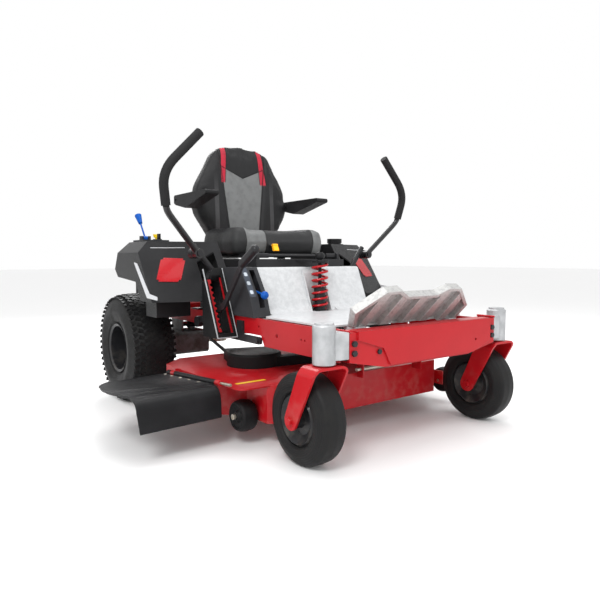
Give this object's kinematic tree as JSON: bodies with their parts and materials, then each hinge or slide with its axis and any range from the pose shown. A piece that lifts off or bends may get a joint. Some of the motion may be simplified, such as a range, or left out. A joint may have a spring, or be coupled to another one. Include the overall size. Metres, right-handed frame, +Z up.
{
  "type": "zero turn mower",
  "caption": "Ride-on zero turn mower with red steel frame, suspended operator platform and seat, twin control bars, side-discharge cutting deck and rear engine.",
  "frame": {"origin": "centre of the footprint on the ground", "axes": "+Y towards the rear engine guard, +Z up, +X towards the operator's left"},
  "size_m": [1.4732, 1.7191, 1.1452],
  "materials": {
    "red_paint": "gloss powder coat over welded steel",
    "silver_casting": "silver painted casting, lightly textured",
    "black_steel": "satin black powder coat",
    "engine_metal": "dull die casting with heat staining",
    "black_plastic": "moulded with a fine grain",
    "tyre_rubber": "moulded tread with dusty sidewalls",
    "rim_paint": "semi gloss black over pressed steel",
    "belt_rubber": "matt moulded rubber",
    "blade_steel": "ground steel with oil film",
    "blue_plastic": "smooth moulded knobs on plated stems",
    "yellow_plastic": "smooth moulded",
    "white_panel": "bright powder coat",
    "tread_plate": "raised tread bars, scuffed",
    "seat_vinyl": "sewn vinyl covers over foam"
  },
  "bodies": {
    "chassis": {"main_frame": "red_paint", "front_beam": "red_paint", "caster_housings": "silver_casting", "frame_bolts": "black_steel", "side_brackets": "black_steel", "rear_guard": "black_steel", "engine_block": "engine_metal", "engine_shroud": "black_plastic", "muffler": "engine_metal", "transaxles": "engine_metal", "fuel_tank": "black_plastic", "right_console": "black_plastic", "left_console": "black_plastic", "console_panels": "black_plastic", "gate_frame": "black_plastic", "height_gate": "red_paint", "shock_body": "black_steel", "shock_spring": "red_paint"},
    "caster_right": {"fork_right": "red_paint"},
    "caster_left": {"fork_left": "red_paint"},
    "caster_wheel_right": {"caster_tyre_right": "tyre_rubber", "caster_rim_right": "rim_paint"},
    "caster_wheel_left": {"caster_tyre_left": "tyre_rubber", "caster_rim_left": "rim_paint"},
    "drive_wheel_right": {"drive_tyre_right": "tyre_rubber", "drive_rim_right": "rim_paint"},
    "drive_wheel_left": {"drive_tyre_left": "tyre_rubber", "drive_rim_left": "rim_paint"},
    "deck": {"deck_shell": "red_paint", "belt_covers": "black_plastic", "deck_fittings": "silver_casting", "mower_belt": "belt_rubber"},
    "deflector_flap": {"deflector": "belt_rubber"},
    "guide_right": {"roller_right": "black_plastic"},
    "guide_left": {"roller_left": "black_plastic"},
    "cutter_right": {"blade_right": "blade_steel"},
    "cutter_left": {"blade_left": "blade_steel"},
    "crank": {"crank_pulley": "blade_steel"},
    "cooling_right": {"fan_right": "black_plastic"},
    "cooling_left": {"fan_left": "black_plastic"},
    "arm_right": {"lever_arm_right": "black_steel"},
    "arm_left": {"lever_arm_left": "black_steel"},
    "bar_right": {"control_bar_right": "black_steel"},
    "bar_left": {"control_bar_left": "black_steel"},
    "lift": {"height_lever": "black_steel"},
    "speed": {"speed_lever": "blue_plastic"},
    "throttle": {"throttle_lever": "blue_plastic"},
    "switch": {"blade_switch": "yellow_plastic"},
    "key": {"ignition_key": "black_plastic"},
    "cap": {"fuel_cap": "black_plastic"},
    "platform": {"platform_panel": "white_panel", "foot_rest": "tread_plate", "seat_base": "black_steel"},
    "adjuster": {"adjuster_knob": "black_plastic"},
    "seat_frame": {"seat_rails": "black_steel"},
    "seat": {"seat_cushion": "seat_vinyl", "seat_back": "seat_vinyl"},
    "rest_right": {"armrest_right": "seat_vinyl"},
    "rest_left": {"armrest_left": "seat_vinyl"},
    "latch": {"seat_latch": "yellow_plastic"}
  },
  "joints": [
    {"name": "caster_swivel_right", "type": "hinge", "parent": "chassis", "child": "caster_right", "pos_m": [-0.29665, -0.7955, 0.36], "axis": [0, 0, 1], "continuous": true},
    {"name": "caster_spin_right", "type": "hinge", "parent": "caster_right", "child": "caster_wheel_right", "pos_m": [-0.29665, -0.7195, 0.14], "axis": [1, 0, 0], "continuous": true},
    {"name": "drive_spin_right", "type": "hinge", "parent": "chassis", "child": "drive_wheel_right", "pos_m": [-0.39965, 0.3675, 0.228], "axis": [1, 0, 0], "continuous": true},
    {"name": "caster_swivel_left", "type": "hinge", "parent": "chassis", "child": "caster_left", "pos_m": [0.52335, -0.7955, 0.36], "axis": [0, 0, 1], "continuous": true},
    {"name": "caster_spin_left", "type": "hinge", "parent": "caster_left", "child": "caster_wheel_left", "pos_m": [0.52335, -0.7195, 0.14], "axis": [1, 0, 0], "continuous": true},
    {"name": "drive_spin_left", "type": "hinge", "parent": "chassis", "child": "drive_wheel_left", "pos_m": [0.62635, 0.3675, 0.228], "axis": [1, 0, 0], "continuous": true},
    {"name": "deck_lift", "type": "slide", "parent": "chassis", "child": "deck", "axis": [0, 0, 1], "range_m": [-0.038, 0.038]},
    {"name": "deflector_hinge", "type": "hinge", "parent": "deck", "child": "deflector_flap", "pos_m": [-0.43265, -0.5055, 0.216], "axis": [0, 0.9975, -0.07], "range_deg": [0, 75]},
    {"name": "guide_spin_right", "type": "hinge", "parent": "deck", "child": "guide_right", "pos_m": [-0.35665, -0.4545, 0.098], "axis": [1, 0, 0], "continuous": true},
    {"name": "guide_spin_left", "type": "hinge", "parent": "deck", "child": "guide_left", "pos_m": [0.61635, -0.4905, 0.098], "axis": [1, 0, 0], "continuous": true},
    {"name": "crank_spin", "type": "hinge", "parent": "chassis", "child": "crank", "pos_m": [0.11335, 0.6045, 0.3], "axis": [0, 0, 1], "continuous": true},
    {"name": "blade_spin_right", "type": "hinge", "parent": "deck", "child": "cutter_right", "pos_m": [-0.15065, -0.1955, 0.15], "axis": [0, 0, 1], "continuous": true},
    {"name": "blade_spin_left", "type": "hinge", "parent": "deck", "child": "cutter_left", "pos_m": [0.37735, -0.2755, 0.15], "axis": [0, 0, 1], "continuous": true},
    {"name": "fan_spin_right", "type": "hinge", "parent": "chassis", "child": "cooling_right", "pos_m": [-0.13665, 0.3675, 0.32], "axis": [0, 0, 1], "continuous": true},
    {"name": "fan_spin_left", "type": "hinge", "parent": "chassis", "child": "cooling_left", "pos_m": [0.36335, 0.3675, 0.32], "axis": [0, 0, 1], "continuous": true},
    {"name": "drive_stroke_right", "type": "hinge", "parent": "chassis", "child": "arm_right", "pos_m": [-0.24665, -0.0525, 0.54], "axis": [-1, 0, 0], "range_deg": [-20, 12], "stiffness_Nm_per_rad": 90},
    {"name": "bar_swing_right", "type": "hinge", "parent": "arm_right", "child": "bar_right", "pos_m": [-0.32265, -0.0755, 0.628], "axis": [0, -1, 0], "range_deg": [-32, 0]},
    {"name": "drive_stroke_left", "type": "hinge", "parent": "chassis", "child": "arm_left", "pos_m": [0.47335, -0.0525, 0.54], "axis": [-1, 0, 0], "range_deg": [-20, 12], "stiffness_Nm_per_rad": 90},
    {"name": "bar_swing_left", "type": "hinge", "parent": "arm_left", "child": "bar_left", "pos_m": [0.54935, -0.0755, 0.628], "axis": [0, 1, 0], "range_deg": [-32, 0]},
    {"name": "lift_turn", "type": "hinge", "parent": "chassis", "child": "lift", "pos_m": [-0.27165, 0.0245, 0.358], "axis": [-1, 0, 0], "range_deg": [-20.05, 20.05]},
    {"name": "speed_turn", "type": "hinge", "parent": "chassis", "child": "speed", "pos_m": [-0.17965, -0.1855, 0.5], "axis": [-1, 0, 0], "range_deg": [0, 35]},
    {"name": "throttle_turn", "type": "hinge", "parent": "chassis", "child": "throttle", "pos_m": [-0.40865, 0.2215, 0.692], "axis": [1, 0, 0], "range_deg": [-20, 20]},
    {"name": "switch_pull", "type": "slide", "parent": "chassis", "child": "switch", "axis": [0, 0, 1], "range_m": [0, 0.018]},
    {"name": "key_turn", "type": "hinge", "parent": "chassis", "child": "key", "pos_m": [-0.35665, 0.2045, 0.695], "axis": [0, 0, 1], "range_deg": [0, 60]},
    {"name": "cap_lift", "type": "slide", "parent": "chassis", "child": "cap", "axis": [0, 0, 1], "range_m": [0, 0.04]},
    {"name": "platform_suspension", "type": "hinge", "parent": "chassis", "child": "platform", "pos_m": [0.11335, -0.7355, 0.38], "axis": [1, 0, 0], "range_deg": [-1.8, 0], "stiffness_Nm_per_rad": 4500, "springref_deg": 5.73, "deforming": ["shock_spring"]},
    {"name": "adjuster_turn", "type": "hinge", "parent": "platform", "child": "adjuster", "pos_m": [0.11335, -0.2695, 0.6], "axis": [0, 0, 1], "continuous": true},
    {"name": "seat_tilt", "type": "hinge", "parent": "platform", "child": "seat_frame", "pos_m": [0.11335, -0.1215, 0.62], "axis": [1, 0, 0], "range_deg": [0, 60]},
    {"name": "seat_slide", "type": "slide", "parent": "seat_frame", "child": "seat", "axis": [0, 1, 0], "range_m": [-0.05, 0.05]},
    {"name": "armrest_fold_right", "type": "hinge", "parent": "seat", "child": "rest_right", "pos_m": [-0.17965, 0.3545, 0.868], "axis": [-1, 0, 0], "range_deg": [0, 95]},
    {"name": "armrest_fold_left", "type": "hinge", "parent": "seat", "child": "rest_left", "pos_m": [0.40635, 0.3545, 0.868], "axis": [-1, 0, 0], "range_deg": [0, 95]},
    {"name": "latch_turn", "type": "hinge", "parent": "seat", "child": "latch", "pos_m": [0.06335, -0.0265, 0.664], "axis": [-1, 0, 0], "range_deg": [0, 25]}
  ],
  "couplings": [
    {"joint": "lift_turn", "follows": "deck_lift", "rad_per_m": 9.186},
    {"joint": "blade_spin_right", "follows": "crank_spin", "ratio": 0.85714},
    {"joint": "blade_spin_left", "follows": "crank_spin", "ratio": 0.85714},
    {"joint": "fan_spin_right", "follows": "crank_spin", "ratio": 1},
    {"joint": "fan_spin_left", "follows": "crank_spin", "ratio": 1}
  ]
}
